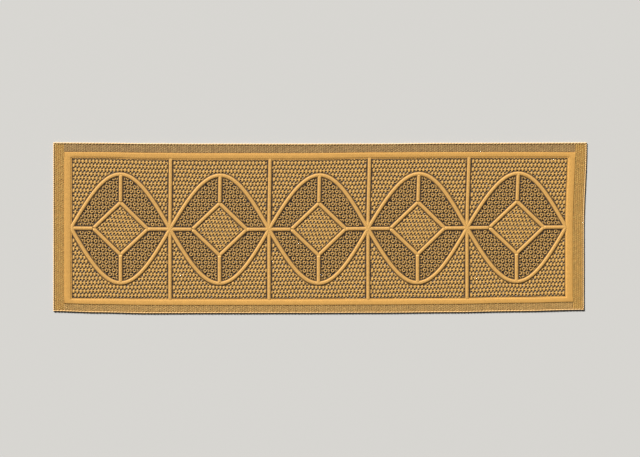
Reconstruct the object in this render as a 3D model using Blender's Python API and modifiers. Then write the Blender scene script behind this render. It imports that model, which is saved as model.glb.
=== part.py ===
"""A knitted lace stole, laid flat: an openwork panel with raised ribs, a smooth frame, a moss-stitch border
and a rolled edge all round. Metres, +Z up, the underside on Z = 0, the length along X, the origin under the middle."""

import math
from collections import namedtuple

import bmesh
import bpy

# Overall size of the laid-out cloth
LENGTH = 1.560
WIDTH = 0.500

# The cloth's straight edges lie this far inside its widest place, where it is pulled out
PULLED_OUT = 0.002
HALF_LENGTH = LENGTH / 2
HALF_WIDTH = WIDTH / 2 - PULLED_OUT

# Widths of the zones, from the outside in
EDGE_ROLL = 0.0042
MOSS_SIDE = 0.0285
MOSS_TOP = 0.0220
FRAME_SIDE = 0.0200
FRAME_TOP = 0.0160
SEAM_GAP = 0.0003

# Thickness of each zone of the cloth
LACE_THICK = 0.0015
FRAME_THICK = 0.0022
MOSS_THICK = 0.0020
ROLL_THICK = 0.0027
ROUNDED_EDGE = 0.0005

# Half sizes of the openwork panel
PANEL_HALF_X = HALF_LENGTH - EDGE_ROLL - MOSS_SIDE - FRAME_SIDE
PANEL_HALF_Y = HALF_WIDTH - EDGE_ROLL - MOSS_TOP - FRAME_TOP

# The ribs: a chain of pointed ovals made by two crossing waves, each oval with a lozenge in it
OVALS = 5
OVAL_LENGTH = 2 * PANEL_HALF_X / OVALS
OVAL_HALF_HEIGHT = 0.158
LOZENGE_HALF_X = 0.080
LOZENGE_HALF_Y = 0.076
RIB_BASE = 0.0104
RIB_TOP = 0.0064
RIB_HEIGHT = 0.0012
RIB_SINK = 0.0005
RIB_LAPS_UNDER = 0.00003
WAVE_STEPS = 14

# The lace grid: eyelets stand at every second crossing of it, like the black squares of a chessboard
CELL_X = OVAL_LENGTH / 28
CELL_Y = PANEL_HALF_Y / 17
EYELET_ACROSS = 0.0048
EYELET_SIDES = 6
EYELET_CLEAR_OF_RIB = 0.0088

# The wider eyelets stand in lozenges round each oval's middle: one round of eyelets, then two rounds without
ROUNDS_IN_REPEAT = 3
WIDE_ROUND = 1

# Places along the length and the width where every piece bends, so that neighbours keep their gap
STEPS_ALONG = 20
STEPS_ACROSS = 6
FRAME_X = PANEL_HALF_X + FRAME_SIDE
FRAME_Y = PANEL_HALF_Y + FRAME_TOP
MOSS_X = FRAME_X + MOSS_SIDE
MOSS_Y = FRAME_Y + MOSS_TOP

# How far the laid-out cloth lies off its straight lines, from one end to the other. Each row is a place along the
# length, from -1 to 1, and how far up the page each of these lines is drawn there, in millimetres.
Pull = namedtuple("Pull", "along outer_top frame_top lace_top lace_foot frame_foot outer_foot")
PULLS = [
    Pull(*row)
    for row in (
        (-1.00, 2.0, 0.0, 1.4, -2.0, 1.5, 4.5),
        (-0.83, 1.2, -0.3, 0.6, -3.2, -1.8, 0.8),
        (-0.64, -0.6, -2.3, -3.2, -3.8, -4.2, -2.0),
        (-0.45, -1.2, -3.5, -4.7, -4.1, -4.3, -1.5),
        (-0.08, -1.5, -3.5, -4.4, -4.1, -4.1, -1.2),
        (0.22, -1.2, -1.2, -0.9, -3.5, -3.2, -0.6),
        (0.49, 0.6, -0.3, 0.9, -2.0, -1.5, 1.2),
        (0.75, 1.2, -0.3, 1.5, 1.2, 2.0, 4.2),
        (1.00, 2.0, -1.0, 1.2, 4.2, 5.6, 8.2),
    )
]
LINE_HEIGHTS = (HALF_WIDTH, FRAME_Y, PANEL_HALF_Y, -PANEL_HALF_Y, -FRAME_Y, -HALF_WIDTH)

# The right end leans inwards: not at all at its top corner, and fully from this height down
LEAN = 0.008
LEAN_TO = -0.006

GOLD = (0.71, 0.40, 0.09)
GOLD_SHADED = (0.48, 0.27, 0.07)
GOLD_LACE = (0.60, 0.33, 0.08)


def smooth(share):
    """Eases a share of the way between two places, level at both."""
    share = min(1.0, max(0.0, share))
    return share * share * (3 - 2 * share)


def line_offsets(along):
    """The offset of each line of LINE_HEIGHTS at a place along the length, in metres."""
    for left, right in zip(PULLS[:-1], PULLS[1:]):
        if along <= right.along:
            break
    share = smooth((along - left.along) / (right.along - left.along))
    return [(a + (b - a) * share) / 1000 for a, b in zip(left[1:], right[1:])]


def laid_out(x, y):
    """Where a point of the straight cloth lies once the stole is pinned out and laid down."""
    offsets = line_offsets(x / HALF_LENGTH)
    rise = offsets[0] if y > 0 else offsets[-1]
    for upper in range(len(LINE_HEIGHTS) - 1):
        high, low = LINE_HEIGHTS[upper], LINE_HEIGHTS[upper + 1]
        if low <= y <= high:
            share = (high - y) / (high - low)
            rise = offsets[upper] + (offsets[upper + 1] - offsets[upper]) * share
    lean = LEAN * smooth((HALF_WIDTH - y) / (HALF_WIDTH - LEAN_TO))
    return x - lean * (x + HALF_LENGTH) / LENGTH, y + rise


def lay_out(mesh):
    """Moves every point of a mesh to where the laid-out cloth has it."""
    for vertex in mesh.vertices:
        vertex.co.x, vertex.co.y = laid_out(vertex.co.x, vertex.co.y)


def start_scene():
    """An empty scene with a collection for the stole and one for what only shapes it."""
    for obj in list(bpy.data.objects):
        bpy.data.objects.remove(obj)
    made = {}
    for name in ("lace_stole", "cutters"):
        made[name] = bpy.data.collections.new(name)
        bpy.context.scene.collection.children.link(made[name])
    return made["lace_stole"], made["cutters"]


def yarn(name, colour, roughness):
    """A matte yarn of one colour."""
    material = bpy.data.materials.new(name)
    material.use_nodes = True
    shader = material.node_tree.nodes["Principled BSDF"]
    shader.inputs["Base Color"].default_value = (*colour, 1)
    shader.inputs["Roughness"].default_value = roughness
    shader.inputs["Metallic"].default_value = 0
    return material


def add_object(name, mesh, collection, material=None):
    """Links a mesh as a named object, with its material."""
    obj = bpy.data.objects.new(name, mesh)
    collection.objects.link(obj)
    if material:
        mesh.materials.append(material)
    return obj


def as_helper(obj):
    """Marks an object that only shapes others, so that it is no part of the stole."""
    obj.hide_render = True
    obj.display_type = "WIRE"


def bends(low, high, steps, inner, corners):
    """The two ends of a span and the shared places between them where the cloth bends."""
    shared = [inner * (2 * i / steps - 1) for i in range(steps + 1)]
    shared += [side * corner for side in (-1, 1) for corner in corners]
    return [low] + [at for at in sorted(shared) if low + SEAM_GAP < at < high - SEAM_GAP] + [high]


def flat_sheet(name, low, high):
    """A flat sheet on Z = 0 between two corners, with a line of points at each shared bend."""
    xs = bends(low[0], high[0], STEPS_ALONG, PANEL_HALF_X, (FRAME_X, MOSS_X))
    ys = bends(low[1], high[1], STEPS_ACROSS, PANEL_HALF_Y, (FRAME_Y, MOSS_Y))
    points = [(x, y, 0) for y in ys for x in xs]
    wide = len(xs)
    faces = [
        (row * wide + i, row * wide + i + 1, (row + 1) * wide + i + 1, (row + 1) * wide + i)
        for row in range(len(ys) - 1)
        for i in range(wide - 1)
    ]
    mesh = bpy.data.meshes.new(name)
    mesh.from_pydata(points, [], faces)
    return mesh


def thicken(obj, thickness):
    """Gives a flat sheet its thickness, upwards from the surface it lies on."""
    solidify = obj.modifiers.new("thickness", "SOLIDIFY")
    solidify.thickness = thickness
    solidify.offset = 1
    return solidify


def strip(name, low, high, thickness, collection, material):
    """One plain zone of the cloth: a laid-out strip between two corners, its upper edges eased."""
    mesh = flat_sheet(name, low, high)
    lay_out(mesh)
    obj = add_object(name, mesh, collection, material)
    thicken(obj, thickness)
    bevel = obj.modifiers.new("eased edges", "BEVEL")
    bevel.width = ROUNDED_EDGE
    bevel.segments = 1
    bevel.limit_method = "ANGLE"
    bevel.angle_limit = math.radians(60)
    return obj


def wave(side):
    """The centre line of one of the two waves that cross to make the chain of ovals."""
    steps = OVALS * WAVE_STEPS
    reach = PANEL_HALF_X - RIB_BASE / 2
    xs = [reach * (2 * i / steps - 1) for i in range(steps + 1)]
    return [(x, side * OVAL_HALF_HEIGHT * math.cos(math.pi * x / OVAL_LENGTH)) for x in xs]


def rib_lines():
    """The centre line of every rib: its name, how many ribs it passes under, whether it is a ring, its points."""
    lines = [("wave_up", 0, False, wave(1)), ("wave_down", 1, False, wave(-1))]
    bar_end = PANEL_HALF_Y - 2 * SEAM_GAP
    for index in range(OVALS):
        middle = (index - (OVALS - 1) / 2) * OVAL_LENGTH
        ring = (
            (middle - LOZENGE_HALF_X, 0),
            (middle, LOZENGE_HALF_Y),
            (middle + LOZENGE_HALF_X, 0),
            (middle, -LOZENGE_HALF_Y),
        )
        lines.append((f"lozenge_{index}", 2, True, ring))
        for side, (tip_x, tip_y) in ((-1, ring[3]), (1, ring[1])):
            stem = ((tip_x, tip_y), (middle, side * OVAL_HALF_HEIGHT))
            lines.append((f"stem_{index}_{side}", 3, False, stem))
        for side in (-1, 1):
            tie = ((middle + side * LOZENGE_HALF_X, 0), (middle + side * (OVAL_LENGTH - RIB_BASE) / 2, 0))
            lines.append((f"tie_{index}_{side}", 4, False, tie))
        if index < OVALS - 1:
            crossing = middle + OVAL_LENGTH / 2
            lines.append((f"bar_{index}", 5, False, ((crossing, -bar_end), (crossing, bar_end))))
    return lines


def rib_section(cutters):
    """The cross-section of a rib: a low trapezium, its foot sunk into the ground."""
    curve = bpy.data.curves.new("rib_section", "CURVE")
    curve.dimensions = "2D"
    spline = curve.splines.new("POLY")
    corners = (
        (-RIB_BASE / 2, -RIB_SINK),
        (RIB_BASE / 2, -RIB_SINK),
        (RIB_TOP / 2, RIB_HEIGHT),
        (-RIB_TOP / 2, RIB_HEIGHT),
    )
    spline.points.add(len(corners) - 1)
    for point, corner in zip(spline.points, corners):
        point.co = (*corner, 0, 1)
    spline.use_cyclic_u = True
    obj = bpy.data.objects.new("rib_section", curve)
    cutters.objects.link(obj)
    as_helper(obj)
    return obj


def rib(name, passes_under, is_ring, points, section, ribs):
    """One raised rib, swept along its centre line on top of the lace ground, as a closed mesh."""
    curve = bpy.data.curves.new(name, "CURVE")
    curve.dimensions = "3D"
    curve.twist_mode = "Z_UP"
    curve.bevel_mode = "OBJECT"
    curve.bevel_object = section
    curve.use_fill_caps = not is_ring
    spline = curve.splines.new("POLY")
    spline.points.add(len(points) - 1)
    for point, (x, y) in zip(spline.points, points):
        point.co = (x, y, LACE_THICK - passes_under * RIB_LAPS_UNDER, 1)
    spline.use_cyclic_u = is_ring
    swept = bpy.data.objects.new(name, curve)
    ribs.objects.link(swept)
    bpy.context.view_layer.update()
    graph = bpy.context.evaluated_depsgraph_get()
    mesh = bpy.data.meshes.new_from_object(swept.evaluated_get(graph))
    bpy.data.objects.remove(swept)
    shape = bmesh.new()
    shape.from_mesh(mesh)
    bmesh.ops.remove_doubles(shape, verts=shape.verts, dist=1e-5)
    bmesh.ops.recalc_face_normals(shape, faces=shape.faces)
    shape.to_mesh(mesh)
    shape.free()
    obj = add_object(name, mesh, ribs)
    as_helper(obj)
    return obj


def distance_to_ribs(x, y, lines):
    """How far a point is from the nearest rib's centre line."""
    nearest = math.inf
    for _, _, is_ring, points in lines:
        ends = (*points[1:], points[0]) if is_ring else points[1:]
        for (ax, ay), (bx, by) in zip(points, ends):
            dx, dy = bx - ax, by - ay
            share = ((x - ax) * dx + (y - ay) * dy) / (dx * dx + dy * dy)
            share = min(1.0, max(0.0, share))
            nearest = min(nearest, math.hypot(x - ax - share * dx, y - ay - share * dy))
    return nearest


def wide_eyelets(lines):
    """Centres of the eyelets wider than 4 mm: they stand in rosette lace, which fills each oval round its lozenge."""
    found = []
    for oval in range(OVALS):
        middle = (oval - (OVALS - 1) / 2) * OVAL_LENGTH
        for along in range(-13, 14):
            for up in range(-13, 14):
                steps = abs(along) + abs(up)
                if steps % 2 or (steps // 2) % ROUNDS_IN_REPEAT != WIDE_ROUND:
                    continue
                x, y = along * CELL_X, up * CELL_Y
                in_oval = abs(y) < OVAL_HALF_HEIGHT * math.cos(math.pi * x / OVAL_LENGTH)
                in_lozenge = abs(x) / LOZENGE_HALF_X + abs(y) / LOZENGE_HALF_Y < 1
                clear = distance_to_ribs(middle + x, y, lines) > EYELET_CLEAR_OF_RIB
                if in_oval and clear and not in_lozenge:
                    found.append((middle + x, y))
    return found


def eyelet_cutter(centres, cutters):
    """One object with a short six-sided column through the ground at each eyelet."""
    shape = bmesh.new()
    depth = 6 * LACE_THICK
    for x, y in centres:
        made = bmesh.ops.create_cone(
            shape,
            cap_ends=True,
            segments=EYELET_SIDES,
            radius1=EYELET_ACROSS / 2,
            radius2=EYELET_ACROSS / 2,
            depth=depth,
        )
        bmesh.ops.translate(shape, verts=made["verts"], vec=(x, y, 0))
    mesh = bpy.data.meshes.new("eyelet_cutter")
    shape.to_mesh(mesh)
    shape.free()
    obj = add_object("eyelet_cutter", mesh, cutters)
    as_helper(obj)
    return obj


def lace_panel(stole, cutters, material):
    """The openwork panel in one piece: the ground, its raised ribs and the larger eyelets cut through."""
    low = (-PANEL_HALF_X + SEAM_GAP, -PANEL_HALF_Y + SEAM_GAP)
    high = (PANEL_HALF_X - SEAM_GAP, PANEL_HALF_Y - SEAM_GAP)
    ground = add_object("lace_panel", flat_sheet("ground", low, high), stole, material)
    thicken(ground, LACE_THICK)

    ribs = bpy.data.collections.new("ribs")
    cutters.children.link(ribs)
    section = rib_section(cutters)
    lines = rib_lines()
    for name, passes_under, is_ring, points in lines:
        rib(name, passes_under, is_ring, points, section, ribs)
    join = ground.modifiers.new("ribs", "BOOLEAN")
    join.operation = "UNION"
    join.operand_type = "COLLECTION"
    join.collection = ribs

    cut = ground.modifiers.new("eyelets", "BOOLEAN")
    cut.operation = "DIFFERENCE"
    cut.object = eyelet_cutter(wide_eyelets(lines), cutters)

    bpy.context.view_layer.update()
    graph = bpy.context.evaluated_depsgraph_get()
    mesh = bpy.data.meshes.new_from_object(ground.evaluated_get(graph))
    ground.modifiers.clear()
    ground.data = mesh
    lay_out(mesh)
    return ground


def plain_zones(stole, frame_yarn, moss_yarn, edge_yarn):
    """The smooth frame, the moss border and the edge rolls, four strips each.

    The frame's long strips and the cast edges run over their side strips. The border's side strips run over
    its long ones.
    """
    half = SEAM_GAP / 2
    for side, word in ((1, "top"), (-1, "foot")):
        rows = (
            (f"frame_{word}", FRAME_X, PANEL_HALF_Y, FRAME_Y, FRAME_THICK, frame_yarn),
            (f"moss_{word}", FRAME_X, FRAME_Y, MOSS_Y, MOSS_THICK, moss_yarn),
            (f"cast_edge_{word}", HALF_LENGTH, MOSS_Y, HALF_WIDTH, ROLL_THICK, edge_yarn),
        )
        for name, reach, inside, outside, thickness, material in rows:
            near, far = sorted((side * inside, side * outside))
            strip(name, (half - reach, near + half), (reach - half, far - half), thickness, stole, material)
    for side, word in ((-1, "left"), (1, "right")):
        rows = (
            (f"frame_{word}", PANEL_HALF_Y, PANEL_HALF_X, FRAME_X, FRAME_THICK, frame_yarn),
            (f"moss_{word}", MOSS_Y, FRAME_X, MOSS_X, MOSS_THICK, moss_yarn),
            (f"selvedge_{word}", MOSS_Y, MOSS_X, HALF_LENGTH, ROLL_THICK, edge_yarn),
        )
        for name, reach, inside, outside, thickness, material in rows:
            near, far = sorted((side * inside, side * outside))
            strip(name, (near + half, half - reach), (far - half, reach - half), thickness, stole, material)


def main():
    """Builds the stole."""
    stole, cutters = start_scene()
    lace_yarn = yarn("lace yarn", GOLD_LACE, 0.85)
    smooth_yarn = yarn("smooth knitting", GOLD, 0.80)
    moss_yarn = yarn("moss knitting", GOLD_SHADED, 0.90)
    edge_yarn = yarn("edge knitting", GOLD, 0.80)
    lace_panel(stole, cutters, lace_yarn)
    plain_zones(stole, smooth_yarn, moss_yarn, edge_yarn)


main()
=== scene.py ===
"""A hand-knitted gold lace stole, laid out flat on a pale floor and seen from straight above.

The lace is a net of one sheet with real holes, made from one tile per stitch pattern. Raised ribs part its
fields, and a smooth frame, a moss-stitch border and a chained edge go round it. Metres, +Z up, as in the frame.
"""

import logging
import math
from abc import ABC, abstractmethod
from collections.abc import Iterator
from contextlib import contextmanager
from dataclasses import dataclass, field
from enum import Enum

import bpy
import numpy as np
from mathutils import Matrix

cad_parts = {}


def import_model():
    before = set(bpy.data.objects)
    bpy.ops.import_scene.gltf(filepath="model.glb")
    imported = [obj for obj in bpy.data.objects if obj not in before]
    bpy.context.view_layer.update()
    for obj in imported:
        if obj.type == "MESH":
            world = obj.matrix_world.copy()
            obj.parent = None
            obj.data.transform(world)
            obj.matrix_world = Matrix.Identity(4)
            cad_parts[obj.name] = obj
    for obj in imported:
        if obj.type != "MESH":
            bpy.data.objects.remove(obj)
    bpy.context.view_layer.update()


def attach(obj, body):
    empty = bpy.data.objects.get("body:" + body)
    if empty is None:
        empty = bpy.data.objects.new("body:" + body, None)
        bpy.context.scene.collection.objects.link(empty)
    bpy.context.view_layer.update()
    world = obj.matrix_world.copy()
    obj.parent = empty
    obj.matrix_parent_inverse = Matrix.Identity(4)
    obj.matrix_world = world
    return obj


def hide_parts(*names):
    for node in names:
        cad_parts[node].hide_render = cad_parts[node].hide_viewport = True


LOG = logging.getLogger("stole")
IMAGE_WIDTH = 640
BODY = "root"
KNITTING_MAP = "knitting"
NET_SLOT, HOLE_SLOT = 0, 1


class Pattern(Enum):
    """Which stitch pattern fills a field of the lace panel."""

    ZIGZAG = "zigzag"
    SLANTED = "slanted"
    ROSETTE = "rosette"


class Relief(Enum):
    """How the knitting of a finish stands up in its bump."""

    STOCKING = "stocking"
    YARN = "yarn"


class Side(Enum):
    """A side of the stole."""

    TOP = ("top", True, 1)
    FOOT = ("foot", True, -1)
    LEFT = ("left", False, -1)
    RIGHT = ("right", False, 1)

    def __init__(self, word: str, is_long: bool, outwards: int) -> None:
        """Keeps what is known of the side.

        Args:
            word: its name.
            is_long: whether it runs along X.
            outwards: the sign of the direction that leads out of the cloth over it.
        """
        self.word = word
        self.is_long = is_long
        self.outwards = outwards


@dataclass(frozen=True)
class Finish:
    """One finish of the yarn, with its painted light and shade.

    Args:
        name: the material's name.
        lit: sRGB hex of the painted light, the colour of the yarn where it stands up.
        painted_shade: sRGB hex of the painted shade, down between the stitches.
        painted_shade_below: height in metres under which the painted shade is full.
        lit_above: height in metres from which the yarn has no painted shade and is painted fully lit.
        relief: the knitting that its bump shows.
        bump_mm: depth of the knitting's bump, in millimetres.
        mottle: how much the dye varies from place to place, from 0 to 1.
    """

    name: str
    lit: str
    # Painted shade: the colour painted where the yarn lies low, and the height under which it is full
    painted_shade: str
    painted_shade_below: float
    lit_above: float
    relief: Relief
    bump_mm: float
    mottle: float


# All are one gold cotton yarn, spun of two plies and hand knitted. Its fibres scatter the light, so it is matt,
# with a faint halo of loose ends. What changes is how open the knitting is, and the painted light and shade:
# each finish has its own painted lit colour on top and its own painted shade colour low down between the
# strands.
# Stocking stitch, close and even: the brightest, plain gold with faint columns of V shapes, and a brown painted
# shade low down along its inner hem
SMOOTH_YARN = Finish("smooth_knit_cotton", "EAB158", "8A5A26", 0.0006, 0.0019, Relief.STOCKING, 0.38, 0.10)
# A raised rib of two columns: gold on its crown, with a brown painted shade in the ditch beside it
RIB_YARN = Finish("rib_cotton", "F0B862", "3E2610", 0.0012, 0.0024, Relief.STOCKING, 0.45, 0.10)
# Moss stitch along the selvedges: gold beads, with an amber painted shade on the ground between them. The three
# moss finishes are lit and shaded copies of one yarn, each edge's ground painted its own shade for how the light
# falls on it
MOSS_SIDE_YARN = Finish("moss_knit_cotton_sides", "FFDA7C", "C48A3E", 0.0009, 0.0019, Relief.YARN, 0.35, 0.26)
# Moss stitch along the cast-off edge: the same beads, with a browner and greyer painted shade on their ground
MOSS_TOP_YARN = Finish("moss_knit_cotton_top", "FFDA8C", "A2784A", 0.0009, 0.0020, Relief.YARN, 0.35, 0.32)
# Moss stitch along the cast-on edge: the same beads, with a lighter and warmer painted shade on their ground
MOSS_FOOT_YARN = Finish("moss_knit_cotton_foot", "FFDA8C", "C6944E", 0.0009, 0.0020, Relief.YARN, 0.35, 0.32)
# Eyelet mesh: thin strands, bright on top, with a painted shade, almost black, where they dip between the holes
# and down the holes' walls
NET_YARN = Finish("lace_cotton", "FBC265", "20110A", 0.0011, 0.0022, Relief.STOCKING, 0.25, 0.14)
# Rosettes: a bright raised ring round each eyelet, with a painted shade, almost black, in the hollow round the
# ring
ROSETTE_YARN = Finish("rosette_cotton", "FFC66A", "20110A", 0.0013, 0.0025, Relief.YARN, 0.30, 0.14)
# The chained edge: painted the palest, a painted highlight for the light that its round links catch on their
# crowns, with a painted shade low down by the floor
EDGE_YARN = Finish("edge_chain_cotton", "F6CA86", "8A5F30", 0.0002, 0.0020, Relief.YARN, 0.25, 0.08)


@dataclass(frozen=True)
class Pull:
    """How far the laid-out cloth lies off its straight lines at one place along it.

    Args:
        along: the place, from -1 at the left end to 1 at the right.
        rises: millimetres up the page for each line of Cloth.line_heights, from the top line to the foot.
    """

    along: float
    rises: tuple[float, ...]


PULLS = (
    Pull(-1.00, (2.0, 0.0, 1.4, -2.0, 1.5, 4.5)),
    Pull(-0.83, (1.2, -0.3, 0.6, -3.2, -1.8, 0.8)),
    Pull(-0.64, (-0.6, -2.3, -3.2, -3.8, -4.2, -2.0)),
    Pull(-0.45, (-1.2, -3.5, -4.7, -4.1, -4.3, -1.5)),
    Pull(-0.08, (-1.5, -3.5, -4.4, -4.1, -4.1, -1.2)),
    Pull(0.22, (-1.2, -1.2, -0.9, -3.5, -3.2, -0.6)),
    Pull(0.49, (0.6, -0.3, 0.9, -2.0, -1.5, 1.2)),
    Pull(0.75, (1.2, -0.3, 1.5, 1.2, 2.0, 4.2)),
    Pull(1.00, (2.0, -1.0, 1.2, 4.2, 5.6, 8.2)),
)


def smooth(share: np.ndarray) -> np.ndarray:
    """Eases shares of the way between two places, level at both."""
    share = np.clip(share, 0.0, 1.0)
    return share * share * (3 - 2 * share)


@dataclass(frozen=True)
class Cloth:
    """The knitting before it is laid out: a rectangle with straight zones, in metres.

    Laid out, its right end is pulled in by lean, from the height lean_to down, and by less above that.
    """

    length: float = 1.560
    width: float = 0.500
    pulled_out: float = 0.002
    edge_roll: float = 0.0042
    moss_side: float = 0.0285
    moss_top: float = 0.0220
    frame_side: float = 0.0200
    frame_top: float = 0.0160
    lean: float = 0.008
    lean_to: float = -0.006
    ovals: int = 5
    stitches_per_oval: int = 56
    courses: int = 68
    row_share: float = 0.7

    @property
    def half_x(self) -> float:
        """Half the length of the whole cloth."""
        return self.length / 2

    @property
    def half_y(self) -> float:
        """Half the width of the whole cloth, on its straight lines."""
        return self.width / 2 - self.pulled_out

    @property
    def moss_x(self) -> float:
        """Half the length inside the selvedges."""
        return self.half_x - self.edge_roll

    @property
    def moss_y(self) -> float:
        """Half the width inside the cast edges."""
        return self.half_y - self.edge_roll

    @property
    def frame_x(self) -> float:
        """Half the length inside the moss border."""
        return self.moss_x - self.moss_side

    @property
    def frame_y(self) -> float:
        """Half the width inside the moss border."""
        return self.moss_y - self.moss_top

    @property
    def panel_x(self) -> float:
        """Half the length of the lace panel."""
        return self.frame_x - self.frame_side

    @property
    def panel_y(self) -> float:
        """Half the width of the lace panel."""
        return self.frame_y - self.frame_top

    @property
    def oval_length(self) -> float:
        """Length of one oval of the rib pattern."""
        return 2 * self.panel_x / self.ovals

    @property
    def stitch(self) -> float:
        """Width of one stitch."""
        return self.oval_length / self.stitches_per_oval

    @property
    def course(self) -> float:
        """Height of one course, which is two knitted rows."""
        return 2 * self.panel_y / self.courses

    @property
    def row(self) -> float:
        """Height of one row of smooth stitches, which are wider than they are tall."""
        return self.stitch * self.row_share

    @property
    def line_heights(self) -> np.ndarray:
        """The lines of the cloth that Pull.rises moves, from the top down."""
        return np.array((self.half_y, self.frame_y, self.panel_y, -self.panel_y, -self.frame_y, -self.half_y))

    def inside_panel(self, points: np.ndarray) -> np.ndarray:
        """How far points of the straight cloth lie inside the panel's edge, in metres."""
        return np.minimum(self.panel_x - np.abs(points[:, 0]), self.panel_y - np.abs(points[:, 1]))

    def laid_out(self, points: np.ndarray) -> np.ndarray:
        """Moves points of the straight cloth to where the laid-out cloth has them.

        Args:
            points: an array of x, y, z rows, in metres.

        Returns:
            The moved points, in a new array.
        """
        x, y = points[:, 0], points[:, 1]
        stations = np.array([pull.along for pull in PULLS]) * self.half_x
        rises = np.array([pull.rises for pull in PULLS]) / 1000
        left = np.clip(np.searchsorted(stations, x, side="left") - 1, 0, len(PULLS) - 2)
        share = smooth((x - stations[left]) / (stations[left + 1] - stations[left]))[:, None]
        offsets = rises[left] + (rises[left + 1] - rises[left]) * share
        heights = self.line_heights
        upper = np.clip(np.searchsorted(-heights, -y, side="right") - 1, 0, len(heights) - 2)
        down = np.clip((heights[upper] - y) / (heights[upper] - heights[upper + 1]), 0.0, 1.0)
        rows = np.arange(len(x))
        rise = offsets[rows, upper] * (1 - down) + offsets[rows, upper + 1] * down
        lean = self.lean * smooth((self.half_y - y) / (self.half_y - self.lean_to))
        moved = points.copy()
        moved[:, 0] = x - lean * (x + self.half_x) / self.length
        moved[:, 1] = y + rise
        return moved


@dataclass(frozen=True)
class RibLine:
    """The centre line of one rib.

    Args:
        points: its x, y rows, in metres.
        lap: how many kinds of rib pass over it where they cross.
        is_ring: whether its end joins its start.
    """

    points: np.ndarray
    lap: int
    is_ring: bool = False

    def segments(self) -> tuple[np.ndarray, np.ndarray]:
        """The starts and the ends of its straight stretches."""
        ends = np.roll(self.points, -1, axis=0)
        return (self.points, ends) if self.is_ring else (self.points[:-1], ends[:-1])


def linear(hex_code: str) -> tuple[float, float, float, float]:
    """Turns an sRGB hex colour to the linear values that a shader takes."""
    values = [int(hex_code[i : i + 2], 16) / 255 for i in (0, 2, 4)]
    return (*(v / 12.92 if v <= 0.04045 else ((v + 0.055) / 1.055) ** 2.4 for v in values), 1.0)


def deselect() -> None:
    """Leaves nothing selected, because an operator acts on all that is."""
    if bpy.context.mode != "OBJECT":
        bpy.ops.object.mode_set(mode="OBJECT")
    bpy.ops.object.select_all(action="DESELECT")


def make_active(piece: bpy.types.Object) -> None:
    """Selects one piece alone and makes it the active one.

    Args:
        piece: the piece.
    """
    deselect()
    piece.select_set(True)
    bpy.context.view_layer.objects.active = piece


@contextmanager
def editing(piece: bpy.types.Object) -> Iterator[None]:
    """Opens a piece in edit mode, with all of it selected, for the lines under the with statement.

    Args:
        piece: the piece.

    Yields:
        Nothing, once the piece is open.
    """
    make_active(piece)
    bpy.ops.object.mode_set(mode="EDIT")
    bpy.ops.mesh.select_all(action="SELECT")
    yield
    bpy.ops.object.mode_set(mode="OBJECT")


def rows_of(parts: bpy.types.bpy_prop_collection, name: str) -> np.ndarray:
    """Reads a place of each point or face of a mesh.

    Args:
        parts: the mesh's points or faces.
        name: what is read of each.

    Returns:
        x, y, z rows.
    """
    values = np.empty(len(parts) * 3)
    parts.foreach_get(name, values)
    return values.reshape(-1, 3)


def coordinates(mesh: bpy.types.Mesh) -> np.ndarray:
    """Reads a mesh's points as x, y, z rows."""
    return rows_of(mesh.vertices, "co")


def set_coordinates(mesh: bpy.types.Mesh, points: np.ndarray) -> None:
    """Writes a mesh's points from x, y, z rows."""
    mesh.vertices.foreach_set("co", points.ravel())
    mesh.update()


def face_centres(mesh: bpy.types.Mesh) -> np.ndarray:
    """Reads the middle of each face as x, y, z rows."""
    return rows_of(mesh.polygons, "center")


def choose(mesh: bpy.types.Mesh, points: np.ndarray | None = None, faces: np.ndarray | None = None) -> None:
    """Selects the points or the faces of a mesh that a mask names, and nothing else.

    Args:
        mesh: the mesh, with its piece in object mode.
        points: one boolean for each point, or None for no points.
        faces: one boolean for each face, or None for no faces.
    """
    for parts, chosen in ((mesh.vertices, points), (mesh.edges, None), (mesh.polygons, faces)):
        parts.foreach_set("select", np.zeros(len(parts), dtype=bool) if chosen is None else chosen)


def delete_faces(piece: bpy.types.Object, doomed: np.ndarray) -> None:
    """Deletes the faces of a piece that a mask names.

    Args:
        piece: the piece, in object mode.
        doomed: one boolean for each of its faces.
    """
    make_active(piece)
    choose(piece.data, faces=doomed)
    bpy.ops.object.mode_set(mode="EDIT")
    bpy.ops.mesh.select_mode(type="FACE")
    bpy.ops.mesh.delete(type="FACE")
    bpy.ops.mesh.select_mode(type="VERT")
    bpy.ops.object.mode_set(mode="OBJECT")


def add_grid(columns: int, rows: int) -> tuple[bpy.types.Object, np.ndarray, np.ndarray]:
    """Adds a grid of faces, for its points to be put in place.

    Args:
        columns: how many faces it has along X.
        rows: how many faces it has along Y.

    Returns:
        The grid, and the column and the row that each of its points is on, counted from 0.
    """
    deselect()
    bpy.ops.mesh.primitive_grid_add(x_subdivisions=columns, y_subdivisions=rows, size=2)
    grid = bpy.context.object
    share = (coordinates(grid.data) + 1) / 2
    return grid, np.rint(share[:, 0] * columns).astype(int), np.rint(share[:, 1] * rows).astype(int)


def repeat(piece: bpy.types.Object, count: int, step: tuple[float, float, float]) -> None:
    """Repeats a piece in a row, as one object.

    Args:
        piece: the piece.
        count: how many of it the row has.
        step: the way from each to the next, in metres.
    """
    make_active(piece)
    array = piece.modifiers.new("repeat", "ARRAY")
    array.count = count
    array.use_relative_offset = False
    array.use_constant_offset = True
    array.constant_offset_displace = step
    bpy.ops.object.modifier_apply(modifier=array.name)


def give_flat_back(piece: bpy.types.Object, plain_back: bool) -> None:
    """Closes an open relief with walls down to the floor and a flat back.

    Args:
        piece: the open sheet, its faces pointing up.
        plain_back: whether the back becomes a few large faces, which a sheet without holes can have.
    """
    with editing(piece):
        bpy.ops.mesh.extrude_region_move()
        bpy.ops.transform.resize(value=(1, 1, 0), center_override=(0, 0, 0))
        if plain_back:
            bpy.ops.mesh.dissolve_limited(angle_limit=math.radians(1))
        bpy.ops.mesh.select_all(action="SELECT")
        bpy.ops.mesh.normals_make_consistent(inside=False)


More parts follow.
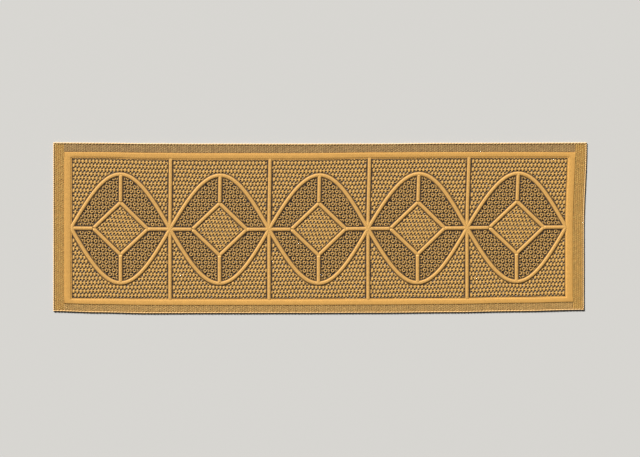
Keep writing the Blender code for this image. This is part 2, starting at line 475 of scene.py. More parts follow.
def store_knitting_map(mesh: bpy.types.Mesh, places: np.ndarray) -> None:
    """Stores the UV map that the knitting follows: where each point lies across the stitches and up the rows.

    Args:
        mesh: the mesh.
        places: one row for each of its points, in metres.
    """
    corners = np.empty(len(mesh.loops), dtype=np.int32)
    mesh.loops.foreach_get("vertex_index", corners)
    layer = mesh.uv_layers.new(name=KNITTING_MAP)
    layer.data.foreach_set("uv", places[corners].ravel())
    mesh.uv_layers.active = layer
    for name in [other.name for other in mesh.uv_layers if other.name != KNITTING_MAP]:
        mesh.uv_layers.remove(mesh.uv_layers[name])


@dataclass
class DyeAndPaintedShade:
    """Makes the material of one finish: dyed cotton yarn, mottled, with painted shade between the stitches and
    where it lies low.

    Args:
        finish: the finish.
        stitch: width of a stitch, in metres.
        row: height of a row, in metres.
        slant: how many rows the arm of a V would climb over a whole stitch.
        flatness: the power that rounds a column of stitches. The lower it is, the flatter the column's top.
        between: how bright the painted shade between its strands leaves the yarn, against 1 on top of them.
        patch: size of a patch of dye, in metres.
        ply_turn: length of one turn of the two plies, in metres.
        tuft: size of a tuft of fibres, in metres.
        tuft_height: height of a tuft, against 1 for a strand.
    """

    finish: Finish
    stitch: float
    row: float
    slant: float = 1.5
    flatness: float = 0.4
    # Painted shade between the strands: how bright it leaves the yarn there
    between: float = 0.78
    patch: float = 0.011
    ply_turn: float = 0.0014
    tuft: float = 0.00055
    tuft_height: float = 0.25
    tree: bpy.types.NodeTree = field(init=False)

    def node(self, kind: str, inputs: dict[str | int, object], **settings: object) -> bpy.types.Node:
        """Adds one node.

        Args:
            kind: the node's Blender type.
            inputs: what goes to an input, by its name or number: a value, a socket, or a node's first socket.
            settings: the node's own properties.

        Returns:
            The new node.
        """
        made = self.tree.nodes.new(kind)
        for key, value in settings.items():
            setattr(made, key, value)
        for key, value in inputs.items():
            source = value.outputs[0] if isinstance(value, bpy.types.Node) else value
            if isinstance(source, bpy.types.NodeSocket):
                self.tree.links.new(source, made.inputs[key])
            else:
                made.inputs[key].default_value = source
        return made

    def stocking_height(self, place: bpy.types.Node) -> bpy.types.Node:
        """The height of stocking stitch: columns of V shapes.

        Args:
            place: the node that has the place across the cloth on X and up the cloth on Y, in metres.

        Returns:
            A node that runs from 0 between strands to 1 on top of them.
        """
        stitches = self.node("ShaderNodeMath", {0: place.outputs["X"], 1: 1 / self.stitch}, operation="MULTIPLY")
        arm = self.node("ShaderNodeMath", {0: stitches, 1: 0.5}, operation="PINGPONG")
        rows = self.node("ShaderNodeMath", {0: place.outputs["Y"], 1: 1 / self.row}, operation="MULTIPLY")
        slanted = self.node("ShaderNodeMath", {0: arm, 1: -self.slant, 2: rows}, operation="MULTIPLY_ADD")
        strand = self.node("ShaderNodeMath", {0: slanted, 1: 0.5}, operation="PINGPONG")
        round_strand = self.node("ShaderNodeMath", {0: strand, 1: math.pi}, operation="MULTIPLY")
        crest = self.node("ShaderNodeMath", {0: round_strand}, operation="SINE")
        column = self.node("ShaderNodeMath", {0: arm, 1: 2 * math.pi}, operation="MULTIPLY")
        lobe = self.node("ShaderNodeMath", {0: column}, operation="SINE")
        rounded = self.node("ShaderNodeMath", {0: lobe, 1: self.flatness}, operation="POWER")
        return self.node("ShaderNodeMath", {0: crest, 1: rounded}, operation="MULTIPLY")

    def strand_height(self) -> bpy.types.NodeSocket:
        """The height of the strands that the finish shows.

        Returns:
            A socket that runs from 0 between strands to 1 on top of them.
        """
        cloth = self.node("ShaderNodeUVMap", {}, uv_map=KNITTING_MAP)
        on_cloth = self.node("ShaderNodeSeparateXYZ", {0: cloth})
        if self.finish.relief is Relief.STOCKING:
            return self.stocking_height(on_cloth).outputs[0]
        # Two plies wound about each other, a turn each 1.4 mm, in a texture that runs ten radians a unit
        turns = 2 * math.pi / (10 * self.ply_turn)
        plies = {"Vector": cloth, "Scale": turns, "Distortion": 3.0, "Detail": 1.5}
        return self.node("ShaderNodeTexWave", plies, bands_direction="DIAGONAL").outputs["Fac"]

    def make(self) -> bpy.types.Material:
        """Builds the material.

        Returns:
            The material.
        """
        finish = self.finish
        material = bpy.data.materials.new(finish.name)
        material.use_nodes = True
        self.tree = material.node_tree
        self.tree.nodes.clear()
        output = self.node("ShaderNodeOutputMaterial", {})
        shader = self.node(
            "ShaderNodeBsdfPrincipled",
            {"Roughness": 0.72, "IOR": 1.53, "Sheen Weight": 0.06, "Sheen Roughness": 0.4},
        )
        shader.inputs["Sheen Tint"].default_value = linear("FFE7B8")
        self.tree.links.new(shader.outputs[0], output.inputs["Surface"])

        place = self.node("ShaderNodeTexCoord", {})
        # Painted shade by height: the lower the yarn lies, the more of the finish's painted shade colour it
        # takes
        height = self.node("ShaderNodeSeparateXYZ", {0: place.outputs["Object"]})
        lit = self.node(
            "ShaderNodeMapRange",
            {"Value": height.outputs["Z"], "From Min": finish.painted_shade_below, "From Max": finish.lit_above},
            interpolation_type="SMOOTHSTEP",
        )
        # The dye took unevenly, in patches of two stitches, about 11 mm
        dye = self.node(
            "ShaderNodeTexNoise",
            {"Vector": place.outputs["Object"], "Scale": 1 / self.patch, "Detail": 3.0, "Roughness": 0.65},
        )
        patches = {"Value": dye, "From Min": 0.3, "From Max": 0.7, "To Min": 1 - finish.mottle, "To Max": 1.0}
        patchy = self.node("ShaderNodeMapRange", patches)
        strands = self.strand_height()
        # Painted shade between the strands of the knitting
        shade = self.node("ShaderNodeMapRange", {"Value": strands, "To Min": self.between, "To Max": 1.0})
        # The flat underside is low, but it gets no painted shade: its colour is the painted lit colour of the
        # yarn
        facing = self.node("ShaderNodeSeparateXYZ", {0: place.outputs["Normal"]})
        under = {"Value": facing.outputs["Z"], "From Min": -0.4, "From Max": -0.8}
        underside = self.node("ShaderNodeMapRange", under)
        in_light = self.node("ShaderNodeMath", {0: lit, 1: underside}, operation="MAXIMUM")
        level = self.node("ShaderNodeMath", {0: in_light, 1: shade}, operation="MULTIPLY")
        # Mixes the painted shade colour, low down and between strands, with the painted lit colour on top
        colour = self.node("ShaderNodeMix", {0: level}, data_type="RGBA")
        colour.inputs[6].default_value = linear(finish.painted_shade)
        colour.inputs[7].default_value = linear(finish.lit)
        mottled = self.node("ShaderNodeHueSaturation", {"Color": colour.outputs[2], "Value": patchy})
        self.tree.links.new(mottled.outputs[0], shader.inputs["Base Color"])
        # Real fibres are 0.02 mm thick, too fine to show: small tufts of them, 0.55 mm apart, stand in
        tufts = {"Vector": place.outputs["Object"], "Scale": 1 / self.tuft, "Detail": 2.0}
        fibre = self.node("ShaderNodeTexNoise", tufts)
        tufted = {0: fibre, 1: self.tuft_height, 2: strands}
        fibres = self.node("ShaderNodeMath", tufted, operation="MULTIPLY_ADD")
        depth = {"Height": fibres, "Distance": finish.bump_mm / 1000, "Strength": 0.8}
        bump = self.node("ShaderNodeBump", depth)
        self.tree.links.new(bump.outputs[0], shader.inputs["Normal"])
        return material


@dataclass
class Piece:
    """A finished piece of the stole: laid out, closed, dressed and placed on its body."""

    cloth: Cloth
    materials: dict[str, bpy.types.Material] = field(default_factory=dict)

    def dress(
        self, piece: bpy.types.Object, name: str, finish: Finish, slot: str, nodes: tuple[str, ...]
    ) -> bpy.types.Object:
        """Names a piece, lays it out with the rest of the cloth and gives it its finish.

        Args:
            piece: the piece, modelled on the straight cloth.
            name: its name.
            finish: its finish.
            slot: not used.
            nodes: the solids that it replaces.

        Returns:
            The same piece.
        """
        piece.name = name
        mesh = piece.data
        mesh.name = name
        if KNITTING_MAP not in mesh.uv_layers:
            store_knitting_map(mesh, coordinates(mesh)[:, :2])
        set_coordinates(mesh, self.cloth.laid_out(coordinates(mesh)))
        mesh.materials.clear()
        mesh.materials.append(self.material(finish))
        mesh.polygons.foreach_set("material_index", np.zeros(len(mesh.polygons), dtype=np.int32))
        mesh.shade_smooth()
        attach(piece, BODY)
        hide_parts(*nodes)
        triangles = sum(len(face.vertices) - 2 for face in mesh.polygons)
        LOG.info("%s: %d triangles", name, triangles)
        return piece

    def material(self, finish: Finish) -> bpy.types.Material:
        """The material of a finish, made once.

        Args:
            finish: the finish.

        Returns:
            The material.
        """
        if finish.name not in self.materials:
            self.materials[finish.name] = DyeAndPaintedShade(finish, self.cloth.stitch, self.cloth.row).make()
        return self.materials[finish.name]


@dataclass
class Ribs(Piece):
    """The raised ribs of the panel: a chain of pointed ovals, each with a lozenge in it.

    Where a rib runs into the frame, it sinks at sink_slope, and from sunk_past beyond the panel's edge on it is
    no higher than end_height, which is under the frame's surface.
    """

    oval_half_height: float = 0.158
    lozenge_half_x: float = 0.080
    lozenge_half_y: float = 0.076
    half_width: float = 0.0052
    step: float = 0.005
    lap_step: float = 0.00004
    end_height: float = 0.0018
    sunk_past: float = 0.0013
    sink_slope: float = 0.5
    # Across a rib from its middle to its hem: millimetres out, and the height there in millimetres
    profile: tuple[tuple[float, float], ...] = (
        (0.0, 2.75),
        (2.0, 2.68),
        (3.8, 2.45),
        (5.0, 1.90),
        (5.7, 1.30),
        (6.5, 1.75),
        (7.6, 1.20),
    )

    @property
    def hem(self) -> float:
        """How far a rib's hem is from its centre line, in metres."""
        return self.profile[-1][0] / 1000

    def waves(self, x: np.ndarray) -> np.ndarray:
        """Half the height of the chain of ovals at places along the cloth."""
        return self.oval_half_height * np.cos(math.pi * x / self.cloth.oval_length)

    def middles(self) -> list[float]:
        """Where each oval's middle is along the cloth."""
        count = self.cloth.ovals
        return [(i - (count - 1) / 2) * self.cloth.oval_length for i in range(count)]

    def lines(self) -> list[RibLine]:
        """The centre line of every rib.

        Returns:
            The lines, those that pass over others first.
        """
        cloth = self.cloth
        reach = cloth.panel_x + self.half_width
        x = np.linspace(-reach, reach, round(2 * reach / self.step) + 1)
        found = [RibLine(np.column_stack((x, side * self.waves(x))), lap) for lap, side in enumerate((-1, 1))]
        for middle in self.middles():
            tips = np.array(
                (
                    (middle - self.lozenge_half_x, 0.0),
                    (middle, self.lozenge_half_y),
                    (middle + self.lozenge_half_x, 0.0),
                    (middle, -self.lozenge_half_y),
                )
            )
            found.append(RibLine(tips, lap=2, is_ring=True))
            for tip, side in ((tips[1], 1), (tips[3], -1)):
                found.append(RibLine(np.array((tip, (middle, side * self.oval_half_height))), lap=3))
            for tip, side in ((tips[2], 1), (tips[0], -1)):
                found.append(RibLine(np.array((tip, (middle + side * cloth.oval_length / 2, 0.0))), lap=4))
        top = cloth.panel_y + self.half_width
        for left, right in zip(self.middles()[:-1], self.middles()[1:]):
            crossing = (left + right) / 2
            found.append(RibLine(np.array(((crossing, -top), (crossing, top))), lap=5))
        return found

    def distance(self, points: np.ndarray) -> np.ndarray:
        """How far points of the straight cloth are from the nearest rib's centre line.

        Args:
            points: rows that start with x and y.

        Returns:
            The distances, in metres.
        """
        nearest = np.full(len(points), np.inf)
        flat = points[:, :2]
        for line in self.lines():
            for start, end in zip(*line.segments()):
                step = end - start
                share = np.clip((flat - start) @ step / (step @ step), 0.0, 1.0)
                nearest = np.minimum(nearest, np.linalg.norm(flat - start - share[:, None] * step, axis=1))
        return nearest

    def pattern_at(self, points: np.ndarray) -> np.ndarray:
        """Which pattern fills the panel at each point.

        Args:
            points: rows that start with x and y.

        Returns:
            An array of Pattern values.
        """
        x, y = points[:, 0], points[:, 1]
        middle = np.round(x / self.cloth.oval_length) * self.cloth.oval_length
        in_oval = np.abs(y) < np.abs(self.waves(x))
        in_lozenge = np.abs(x - middle) / self.lozenge_half_x + np.abs(y) / self.lozenge_half_y < 1
        found = np.full(len(points), Pattern.ZIGZAG, dtype=object)
        found[in_oval] = Pattern.ROSETTE
        found[in_lozenge] = Pattern.SLANTED
        return found

    def sweep(self, line: RibLine) -> bpy.types.Object:
        """Makes one rib: a strip bent along its line and crowned across it, clear of the ribs it crosses.

        Args:
            line: the rib's centre line.

        Returns:
            The rib, closed, on the straight cloth.
        """
        starts, ends = line.segments()
        lengths = np.linalg.norm(ends - starts, axis=1)
        whole = lengths.sum()
        steps = max(2, round(whole / self.step))
        at = np.linspace(0, whole, steps + 1)
        travelled = np.concatenate(([0.0], np.cumsum(lengths)))
        corners = np.vstack((starts, ends[-1:]))
        middle = np.column_stack([np.interp(at, travelled, corners[:, k]) for k in (0, 1)])
        heading = np.gradient(middle, axis=0)
        if line.is_ring:
            heading[0] = heading[-1] = middle[1] - middle[-2]
        heading /= np.linalg.norm(heading, axis=1)[:, None]
        side = np.column_stack((-heading[:, 1], heading[:, 0]))
        half = [(-out, height) for out, height in reversed(self.profile)]
        across = np.array(half + list(self.profile[1:])) / 1000

        strip, column, row = add_grid(len(across) - 1, steps)
        spread = middle[row] - side[row] * across[column, 0][:, None]
        inside = np.clip(self.cloth.inside_panel(spread) + self.sunk_past, 0.0, 1.0)
        highest = self.end_height + self.sink_slope * inside
        height = np.minimum(across[column, 1], highest) - line.lap * self.lap_step
        set_coordinates(strip.data, np.column_stack((spread, height)))
        store_knitting_map(strip.data, np.column_stack((across[column, 0], at[row])))
        give_flat_back(strip, plain_back=False)
        points = coordinates(strip.data)
        points[points[:, 2] < self.lap_step, 2] = (1 + line.lap) * self.lap_step
        set_coordinates(strip.data, points)
        return strip

    def build(self) -> bpy.types.Object:
        """Makes all the ribs as one piece.

        Returns:
            The piece.
        """
        strips = [self.sweep(line) for line in self.lines()]
        deselect()
        for strip in strips:
            strip.select_set(True)
        bpy.context.view_layer.objects.active = strips[0]
        bpy.ops.object.join()
        ribs = bpy.context.object
        return self.dress(ribs, "lace_ribs", RIB_YARN, "smooth_knit", ("lace_panel",))


@dataclass
class Tile(ABC):
    """One repeat of a stitch pattern, modelled flat: the net round its holes, and the holes as faces."""

    cloth: Cloth
    rim: float = 0.0015
    low: float = 0.0013
    middle: float = 0.0017
    high: float = 0.0025
    tall_hole: float = 1.15

    @abstractmethod
    def make(self) -> bpy.types.Object:
        """Models the tile."""

    def add_slots(self, tile: bpy.types.Object) -> None:
        """Gives a tile its two slots, which tell the faces of the net from those of the holes."""
        for name in ("net", "hole"):
            tile.data.materials.append(bpy.data.materials.get(name) or bpy.data.materials.new(name))

    def unopened(self, mesh: bpy.types.Mesh) -> bpy.types.MeshPolygon:
        """The face with eight corners that isn't a hole yet."""
        net = (face for face in mesh.polygons if face.material_index == NET_SLOT)
        return next(face for face in net if len(face.vertices) == 8)

    def open_hole(self, tile: bpy.types.Object, place: tuple[float, float], radius: float) -> None:
        """Makes a round hole's face at a point of a tile, with a ring of eight faces round it.

        Args:
            tile: the tile, in object mode.
            place: where the hole's middle is, in metres.
            radius: the hole's radius across the tile, in metres.
        """
        mesh = tile.data
        make_active(tile)
        points = coordinates(mesh)
        chosen = np.zeros(len(points), dtype=bool)
        chosen[np.argmin(np.hypot(points[:, 0] - place[0], points[:, 1] - place[1]))] = True
        choose(mesh, points=chosen)
        bpy.ops.object.mode_set(mode="EDIT")
        bpy.ops.mesh.select_mode(type="VERT")
        bpy.ops.mesh.dissolve_verts()
        bpy.ops.mesh.select_mode(type="FACE")
        bpy.ops.mesh.select_all(action="DESELECT")
        bpy.ops.object.mode_set(mode="OBJECT")
        self.unopened(mesh).select = True
        bpy.ops.object.mode_set(mode="EDIT")
        bpy.ops.mesh.inset(thickness=0.0001)
        bpy.ops.mesh.select_mode(type="VERT")
        bpy.ops.object.mode_set(mode="OBJECT")
        hole = self.unopened(mesh)
        rim = list(hole.vertices)
        points = coordinates(mesh)
        way = np.sign(np.round((points[rim, :2] - place) / (self.cloth.stitch / 2, self.cloth.course / 2)))
        way /= np.linalg.norm(way, axis=1)[:, None]
        points[rim, :2] = place + way * radius * (1, self.tall_hole)
        points[rim, 2] = self.rim
        set_coordinates(mesh, points)
        hole.material_index = HOLE_SLOT


@dataclass
class MeshTile(Tile):
    """The eyelet mesh: over two stitches and one course, a large hole and a small one beside and below it.

    Places on the tile are shares of its width and of its height, from its lower left corner.
    """

    large: float = 0.00255
    large_place: tuple[float, float] = (0.25, 0.75)
    small: float = 0.0022
    small_up: float = 0.36
    ridge_above_small: float = 0.22
    slanted: bool = False
    faces: int = 4

    def make(self) -> bpy.types.Object:
        """Models the tile, with its lower left corner on the origin.

        Returns:
            The tile.
        """
        wide, tall = 2 * self.cloth.stitch, 2 * self.cloth.course
        tile, column, row = add_grid(self.faces, self.faces)
        self.add_slots(tile)
        points = np.column_stack((column / self.faces * wide, row / self.faces * tall, np.zeros(len(row))))
        # The tile's last column and row of points are the first ones of the next tile
        column, row = column % self.faces, row % self.faces
        pillar = ((column == 3) & ((row == 3) | (row == 0))) | ((column == 1) & ((row == 1) | (row == 0)))
        valley = (column % 2 == 0) & (row == 2)
        points[:, 2] = np.select((pillar, valley), (self.high, self.low), self.middle)
        small_along = 0.5 if self.slanted else 0.75
        over_small = (column == small_along * self.faces) & (row == 2)
        points[over_small, 1] = tall * (self.small_up + self.ridge_above_small)
        points[over_small, 2] = self.high
        set_coordinates(tile.data, points)
        self.open_hole(tile, (wide * self.large_place[0], tall * self.large_place[1]), self.large)
        self.open_hole(tile, (wide * small_along, tall * self.small_up), self.small)
        return tile


@dataclass
class RosetteTile(Tile):
    """A rosette: a raised ring round an eyelet, in a diamond of net that is open on its four slants.

    Its outermost points lie on the diamond. Those more than tip off a slant's middle, in quarter turns, are at
    the diamond's tips, and the others are at the ends of the slit, which opens that share of the slant.
    """

    eyelet: float = 0.0023
    crest: float = 0.0043
    groove: float = 0.0061
    crest_height: float = 0.0027
    groove_height: float = 0.0013
    tip_height: float = 0.0022
    hem_height: float = 0.0019
    slit: float = 0.25
    tip: float = 0.4
    sides: int = 12

    def make(self) -> bpy.types.Object:
        """Models the tile round the origin.

        Returns:
            The tile.
        """
        rings = np.array((self.eyelet, self.crest, self.groove, 2 * self.groove))
        deselect()
        bpy.ops.mesh.primitive_circle_add(vertices=self.sides, radius=self.eyelet, fill_type="NGON")
        tile = bpy.context.object
        mesh = tile.data
        self.add_slots(tile)
        with editing(tile):
            bpy.ops.mesh.select_mode(type="EDGE")
            for inner, outer in zip(rings[:-1], rings[1:]):
                bpy.ops.mesh.extrude_edges_move()
                bpy.ops.transform.resize(value=(outer / inner, outer / inner, 1), center_override=(0, 0, 0))
        points = coordinates(mesh)
        away = np.hypot(points[:, 0], points[:, 1])
        ring = np.abs(away[:, None] - rings).argmin(axis=1)
        # The outermost ring becomes the diamond: its points go to the tips, or to either side of a slit
        hem = ring == len(rings) - 1
        half_x, half_y = 2 * self.cloth.stitch, 2 * self.cloth.course
        quarter = np.arctan2(np.abs(points[:, 1]), np.abs(points[:, 0])) / (math.pi / 2)
        at_tip = np.abs(quarter - 0.5) > self.tip
        share = np.where(at_tip, np.round(quarter), 0.5 + np.sign(quarter - 0.5) * self.slit / 2)
        points[hem, 0] = (np.sign(np.round(points[:, 0], 6)) * half_x * (1 - share))[hem]
        points[hem, 1] = (np.sign(np.round(points[:, 1], 6)) * half_y * share)[hem]
        heights = np.array((self.rim, self.crest_height, self.groove_height, self.hem_height))
        points[:, 2] = np.where(hem & at_tip, self.tip_height, heights[ring])
        set_coordinates(mesh, points)
        for face in mesh.polygons:
            corners = list(face.vertices)
            in_slit = hem[corners].any() and abs(quarter[corners].mean() - 0.5) < 0.5 - self.tip
            face.material_index = HOLE_SLOT if in_slit or len(corners) > 4 else NET_SLOT
        return tile


@dataclass(frozen=True)
class Sway:
    """How uneven knitting strays one way: slow waves, of whole stretches, and quick ones, of stitches.

    Args:
        across: radians a metre of the slow waves at right angles to the way.
        across_phase: where those start, in radians.
        along: radians a metre of the slow waves along the way.
        along_phase: where those start, in radians.
        quick: radians a metre of the quick waves along the way.
        bend: radians a metre of the waves at right angles that bend the quick ones.
    """

    across: float
    across_phase: float
    along: float
    along_phase: float
    quick: float
    bend: float


@dataclass
class LaceField(Piece):
    """One stitch pattern of the panel, repeated over it and trimmed to its fields."""

    ribs: Ribs = field(kw_only=True)
    tile: Tile = field(kw_only=True)
    pattern: Pattern = field(kw_only=True)
    finish: Finish = NET_YARN
    edge_stitches: float = 0.0090
    tuck_under: float = 0.0025
    wobble: float = 0.0001
    drift: float = 0.0010
    uneven: float = 0.0004
    quick_bend: float = 3.0
    sways: tuple[Sway, Sway] = (Sway(71, 1.3, 37, 0.0, 437, 173), Sway(43, 0.4, 29, 2.0, 389, 211))
    sunk: float = 0.0008
    rise: float = 2.0
    frame_hem: float = 0.0028
    seed: int = 11

    def repeated(self) -> bpy.types.Object:
        """Repeats the tile over the whole panel, each second row half a repeat along.

        Returns:
            The net, with its holes as tagged faces.
        """
        tile = self.tile.make()
        make_active(tile)
        stitch, course = self.cloth.stitch, self.cloth.course
        diamond = self.pattern is Pattern.ROSETTE
        wide = 4 * stitch if diamond else 2 * stitch
        tall = 2 * course
        columns = math.ceil(2 * self.cloth.panel_x / wide) + 2
        rows = math.ceil(self.cloth.panel_y / tall) + 1
        bpy.ops.object.duplicate()
        shifted = bpy.context.object
        set_coordinates(shifted.data, coordinates(shifted.data) + (wide / 2, tall, 0))
        tile.select_set(True)
        bpy.context.view_layer.objects.active = tile
        bpy.ops.object.join()
        repeat(tile, columns, (wide, 0, 0))
        repeat(tile, rows, (0, 2 * tall, 0))
        start_x = -wide * (columns // 2)
        start_y = -2 * tall * (rows // 2)
        set_coordinates(tile.data, coordinates(tile.data) + (start_x, start_y, 0))
        with editing(tile):
            bpy.ops.mesh.remove_doubles(threshold=0.0001)
        return tile

    def trim(self, net: bpy.types.Object) -> None:
        """Cuts the net to its fields and opens its holes, but for those too near a rib or the frame.

        Args:
            net: the net over the whole panel.
        """
        centres = face_centres(net.data)
        inside = self.cloth.inside_panel(centres)
        elsewhere = self.ribs.pattern_at(centres) != self.pattern
        tags = np.empty(len(net.data.polygons), dtype=np.int32)
        net.data.polygons.foreach_get("material_index", tags)
        clear_of_rib = self.ribs.distance(centres) > self.edge_stitches
        clear_of_frame = inside > self.edge_stitches - self.ribs.half_width
        hole = (tags == HOLE_SLOT) & clear_of_rib & clear_of_frame
        delete_faces(net, elsewhere | (inside < -self.tuck_under) | hole)

    def clear(self, points: np.ndarray) -> np.ndarray:
        """How far points of the straight cloth are from the hem of the nearest rib or frame, in metres."""
        from_rib = self.ribs.distance(points) - self.ribs.hem
        return np.minimum(from_rib, self.cloth.inside_panel(points) - self.frame_hem)

    def tuck_in(self, net: bpy.types.Object) -> None:
        """Sinks the net where it goes under a rib or the frame, and gives it a back.

        Args:
            net: the trimmed net.
        """
        points = coordinates(net.data)
        clear = self.clear(points)
        points[:, 2] = np.minimum(points[:, 2], self.sunk + self.rise * np.clip(clear, 0.0, 1.0))
        set_coordinates(net.data, points)
        give_flat_back(net, plain_back=False)
        points = coordinates(net.data)
        is_back = points[:, 2] < self.sunk / 2
        points[is_back & (self.clear(points) < 0), 2] = self.sunk / 2
        set_coordinates(net.data, points)

    def unsettle(self, net: bpy.types.Object) -> None:
        """Moves each point a little, because hand knitting is uneven.

        Args:
            net: the trimmed net.
        """
        chance = np.random.default_rng(self.seed)
        points = coordinates(net.data)
        points[:, :2] += chance.uniform(-self.wobble, self.wobble, (len(points), 2))
        points[:, 2] += chance.uniform(-self.wobble / 2, self.wobble / 2, len(points))
        even = points.copy()
        for way, sway in enumerate(self.sways):
            along, across = even[:, way], even[:, 1 - way]
            slow = np.sin(across * sway.across + sway.across_phase)
            points[:, way] += self.drift * slow * np.cos(along * sway.along + sway.along_phase)
            bend = self.quick_bend * np.sin(across * sway.bend)
            points[:, way] += self.uneven * np.sin(along * sway.quick + bend)
        set_coordinates(net.data, points)

    def build(self, name: str, part: int = 0) -> bpy.types.Object:
        """Makes the pattern's fields as one piece.

        Args:
            name: the piece's name.
            part: 1 for the upper half of the panel alone, -1 for the lower half, 0 for all of it.

        Returns:
            The piece.
        """
        net = self.repeated()
        self.trim(net)
        if part:
            centres = face_centres(net.data)
            delete_faces(net, centres[:, 1] * part < 0)
        self.unsettle(net)
        self.tuck_in(net)
        return self.dress(net, name, self.finish, "lace", ("lace_panel",))


@dataclass
class SmoothFrame(Piece):
    """The smooth frame round the panel, with the thin purl line along its inner edge."""

    step: float = 0.005
    crown: float = 0.0023
    crease: float = math.radians(50)
    # From the panel's edge outwards: millimetres out, and the height there in millimetres
    inner_profile: tuple[tuple[float, float], ...] = (
        (-2.8, 1.15),
        (-2.2, 1.80),
        (-1.3, 1.95),
        (-0.4, 1.45),
        (0.5, 2.05),
        (2.5, 2.30),
    )
    # Towards the border's edge: millimetres short of it, and the height there in millimetres
    outer_profile: tuple[tuple[float, float], ...] = (
        (2.5, 2.35),
        (0.6, 2.20),
        (0.0, 1.90),
    )

    def build(self, side: Side) -> bpy.types.Object:
        """Makes one side of the frame.

        Args:
            side: the side.

        Returns:
            The piece.
        """
        cloth = self.cloth
        if side.is_long:
            width, inner, reach, corner = cloth.frame_top, cloth.panel_y, cloth.frame_x, cloth.panel_x
        else:
            width, inner, reach, corner = cloth.frame_side, cloth.panel_x, cloth.panel_y, cloth.panel_y
        outer = tuple((width * 1000 - short, height) for short, height in self.outer_profile)
        across = np.array(self.inner_profile + outer) / 1000
        steps = round(2 * reach / self.step)
        stations = np.linspace(-reach, reach, steps + 1)
        left, right = (int(np.argmin(np.abs(stations - place))) for place in (-corner, corner))
        stations[left], stations[right] = -corner, corner
        strip, column, row = add_grid(steps, len(across) - 1)
        along, offset, height = stations[column], across[row, 0], across[row, 1]
        # The hem inside the panel's edge is mitred at the corners, and ends there
        in_hem = offset < 0
        along = np.where(in_hem & (column == right - 1), corner + offset, along)
        along = np.where(in_hem & (column == left + 1), -corner - offset, along)
        past_corner = (column >= right) | (column <= left)
        height = np.where(past_corner & (height < self.crown) & (offset < width / 2), self.crown, height)
        out = side.outwards * (inner + np.where(past_corner & in_hem, 0.0, offset))
        placed = (along, out, height) if side.is_long else (out, along, height)
        set_coordinates(strip.data, np.column_stack(placed))
        give_flat_back(strip, plain_back=False)
        node = f"frame_{side.word}"
        dressed = self.dress(strip, f"smooth_{node}", SMOOTH_YARN, "smooth_knit", (node,))
        make_active(dressed)
        bpy.ops.object.shade_smooth_by_angle(angle=self.crease)
        return dressed


@dataclass
class MossBorder(Piece):
    """The moss-stitch border: purl bumps that stand up at every other stitch of every other row.

    A bump is from thinnest to thickest times as high as an even one, because the border is hand knitted.
    """

    ground: float = 0.0010
    bead: float = 0.0013
    sunk_bead: float = 0.0008
    row: float = 0.0031
    faces_per_stitch: int = 3
    faces_per_row: int = 2
    thinnest: float = 0.45
    thickest: float = 1.15
    seed: int = 5

    def relief(self, across: np.ndarray, up: np.ndarray) -> np.ndarray:
        """The height of moss stitch at places on it.

        Args:
            across: how many stitches along each place is.
            up: how many rows up each place is.

        Returns:
            The heights, in metres.
        """
        bead = np.abs(np.sin(math.pi * across)) * np.abs(np.sin(math.pi * up))
        raised = (np.floor(across) + np.floor(up)) % 2
        uneven = np.random.default_rng(self.seed).uniform(self.thinnest, self.thickest, len(across))
        return self.ground + np.where(raised > 0, self.bead, self.sunk_bead) * bead * uneven

    def build(self, side: Side) -> bpy.types.Object:
        """Makes one side of the border.

        Args:
            side: the side.

        Returns:
            The piece.
        """
        cloth = self.cloth
        if side.is_long:
            near, far = sorted((side.outwards * cloth.frame_y, side.outwards * cloth.moss_y))
            low, high = (-cloth.frame_x, near), (cloth.frame_x, far)
        else:
            near, far = sorted((side.outwards * cloth.frame_x, side.outwards * cloth.moss_x))
            low, high = (near, -cloth.moss_y), (far, cloth.moss_y)
        size = np.subtract(high, low)
        stitches, rows = round(size[0] / cloth.stitch), round(size[1] / self.row)
        strip, column, row = add_grid(stitches * self.faces_per_stitch, rows * self.faces_per_row)
        across, up = column / self.faces_per_stitch, row / self.faces_per_row
        x, y = low[0] + across / stitches * size[0], low[1] + up / rows * size[1]
        set_coordinates(strip.data, np.column_stack((x, y, self.relief(across, up))))
        give_flat_back(strip, plain_back=True)
        node = f"moss_{side.word}"
        finish = {Side.TOP: MOSS_TOP_YARN, Side.FOOT: MOSS_FOOT_YARN}.get(side, MOSS_SIDE_YARN)
        return self.dress(strip, f"{node}_stitch", finish, "moss_knit", (node,))


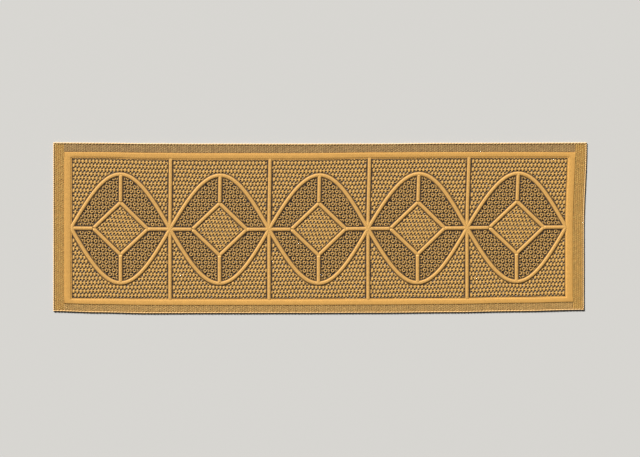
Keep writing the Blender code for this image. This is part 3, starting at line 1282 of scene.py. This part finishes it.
@dataclass
class EdgeChain(Piece):
    """A chained edge: links that lean one over the next, along a long or a short side."""

    cast_link: float = 0.0094
    slip_link: float = 0.0061
    height: float = 0.0027
    overlap: float = 1.3
    lean: float = 0.7

    def link(self, length: float, width: float) -> bpy.types.Object:
        """Models one leaning link round the origin, lying along X.

        Args:
            length: its length.
            width: its width.

        Returns:
            The link, resting on the floor.
        """
        deselect()
        bpy.ops.mesh.primitive_uv_sphere_add(segments=8, ring_count=6, radius=0.5)
        link = bpy.context.object
        with editing(link):
            bpy.ops.transform.rotate(value=math.radians(90), orient_axis="Y", center_override=(0, 0, 0))
            bpy.ops.transform.resize(value=(length, width, self.height), center_override=(0, 0, 0))
            bpy.ops.transform.translate(value=(0, 0, self.height / 2))
        points = coordinates(link.data)
        points[:, 0] += self.lean * points[:, 1]
        set_coordinates(link.data, points)
        return link

    def build(self, side: Side) -> bpy.types.Object:
        """Makes the chain of one side.

        Args:
            side: the side.

        Returns:
            The piece.
        """
        cloth = self.cloth
        half_run, half_span = (cloth.half_x, cloth.half_y) if side.is_long else (cloth.moss_y, cloth.half_x)
        count = round(2 * half_run / (self.cast_link if side.is_long else self.slip_link))
        pitch = 2 * half_run / count
        chain = self.link(pitch * self.overlap, cloth.edge_roll)
        repeat(chain, count, (pitch, 0, 0))
        points = coordinates(chain.data)
        points[:, 0] = np.clip(points[:, 0] + pitch / 2 - half_run, -half_run, half_run)
        points[:, 1] += side.outwards * (half_span - cloth.edge_roll / 2)
        if not side.is_long:
            # Swapping the axes turns the faces inside out
            points[:, :2] = points[:, 1::-1]
            with editing(chain):
                bpy.ops.mesh.flip_normals()
        set_coordinates(chain.data, points)
        node = f"cast_edge_{side.word}" if side.is_long else f"selvedge_{side.word}"
        return self.dress(chain, f"{node}_chain", EDGE_YARN, "edge_knit", (node,))


@dataclass(frozen=True)
class Studio:
    """The pale floor, the soft light and the camera above."""

    millimetres_per_pixel: float = 2.924
    centre_y: float = -0.0015
    lens: float = 85.0
    sensor: float = 36.0
    floor_size: float = 24.0
    floor_drop: float = 0.0001
    key_energy: float = 8.6
    key_softness: float = math.radians(10)
    key_height: float = math.radians(20)
    key_from: float = math.radians(125)
    fill: float = 0.07

    def floor(self) -> None:
        """Adds the plain pale floor."""
        deselect()
        bpy.ops.mesh.primitive_plane_add(size=self.floor_size, location=(0, 0, -self.floor_drop))
        floor = bpy.context.object
        floor.name = "floor"
        material = bpy.data.materials.new("pale_floor")
        material.use_nodes = True
        shader = material.node_tree.nodes["Principled BSDF"]
        shader.inputs["Base Color"].default_value = linear("D6D6D5")
        shader.inputs["Roughness"].default_value = 0.9
        floor.data.materials.append(material)

    def light(self) -> None:
        """Adds a soft key light, low enough to shade the holes, and an even fill, seen with plain colours."""
        bpy.context.scene.view_settings.view_transform = "Standard"
        sun = bpy.data.lights.new("key", "SUN")
        sun.energy = self.key_energy
        sun.angle = self.key_softness
        sun.color = linear("FFFDF9")[:3]
        key = bpy.data.objects.new("key", sun)
        key.rotation_euler = (math.pi / 2 - self.key_height, 0, self.key_from + math.pi / 2)
        bpy.context.scene.collection.objects.link(key)
        world = bpy.data.worlds.new("studio")
        world.use_nodes = True
        background = world.node_tree.nodes["Background"]
        background.inputs["Color"].default_value = linear("F4F2EE")
        background.inputs["Strength"].default_value = self.fill
        bpy.context.scene.world = world

    def camera(self) -> None:
        """Adds the camera straight above, at the photograph's framing."""
        view = bpy.data.cameras.new("camera")
        view.lens = self.lens
        view.sensor_width = self.sensor
        view.clip_end = 50
        across = IMAGE_WIDTH * self.millimetres_per_pixel / 1000
        camera = bpy.data.objects.new("camera", view)
        camera.location = (0, self.centre_y, across * self.lens / self.sensor)
        bpy.context.scene.collection.objects.link(camera)
        bpy.context.scene.camera = camera


def main() -> None:
    """Builds the dressed stole and its studio."""
    logging.basicConfig(level=logging.INFO, format="%(message)s")
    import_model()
    cloth = Cloth()
    shared: dict[str, bpy.types.Material] = {}

    ribs = Ribs(cloth, shared)
    zigzag = LaceField(cloth, shared, ribs=ribs, tile=MeshTile(cloth), pattern=Pattern.ZIGZAG)
    zigzag.build("zigzag_net_upper", part=1)
    zigzag.build("zigzag_net_lower", part=-1)
    slanted = LaceField(cloth, shared, ribs=ribs, tile=MeshTile(cloth, slanted=True), pattern=Pattern.SLANTED)
    slanted.build("slanted_net")
    rosettes = LaceField(
        cloth, shared, ribs=ribs, tile=RosetteTile(cloth), pattern=Pattern.ROSETTE, finish=ROSETTE_YARN
    )
    rosettes.build("rosette_net_upper", part=1)
    rosettes.build("rosette_net_lower", part=-1)
    ribs.build()
    for side in Side:
        SmoothFrame(cloth, shared).build(side)
        MossBorder(cloth, shared).build(side)
        EdgeChain(cloth, shared).build(side)

    studio = Studio()
    studio.floor()
    studio.light()
    studio.camera()


if __name__ == "__main__":
    main()
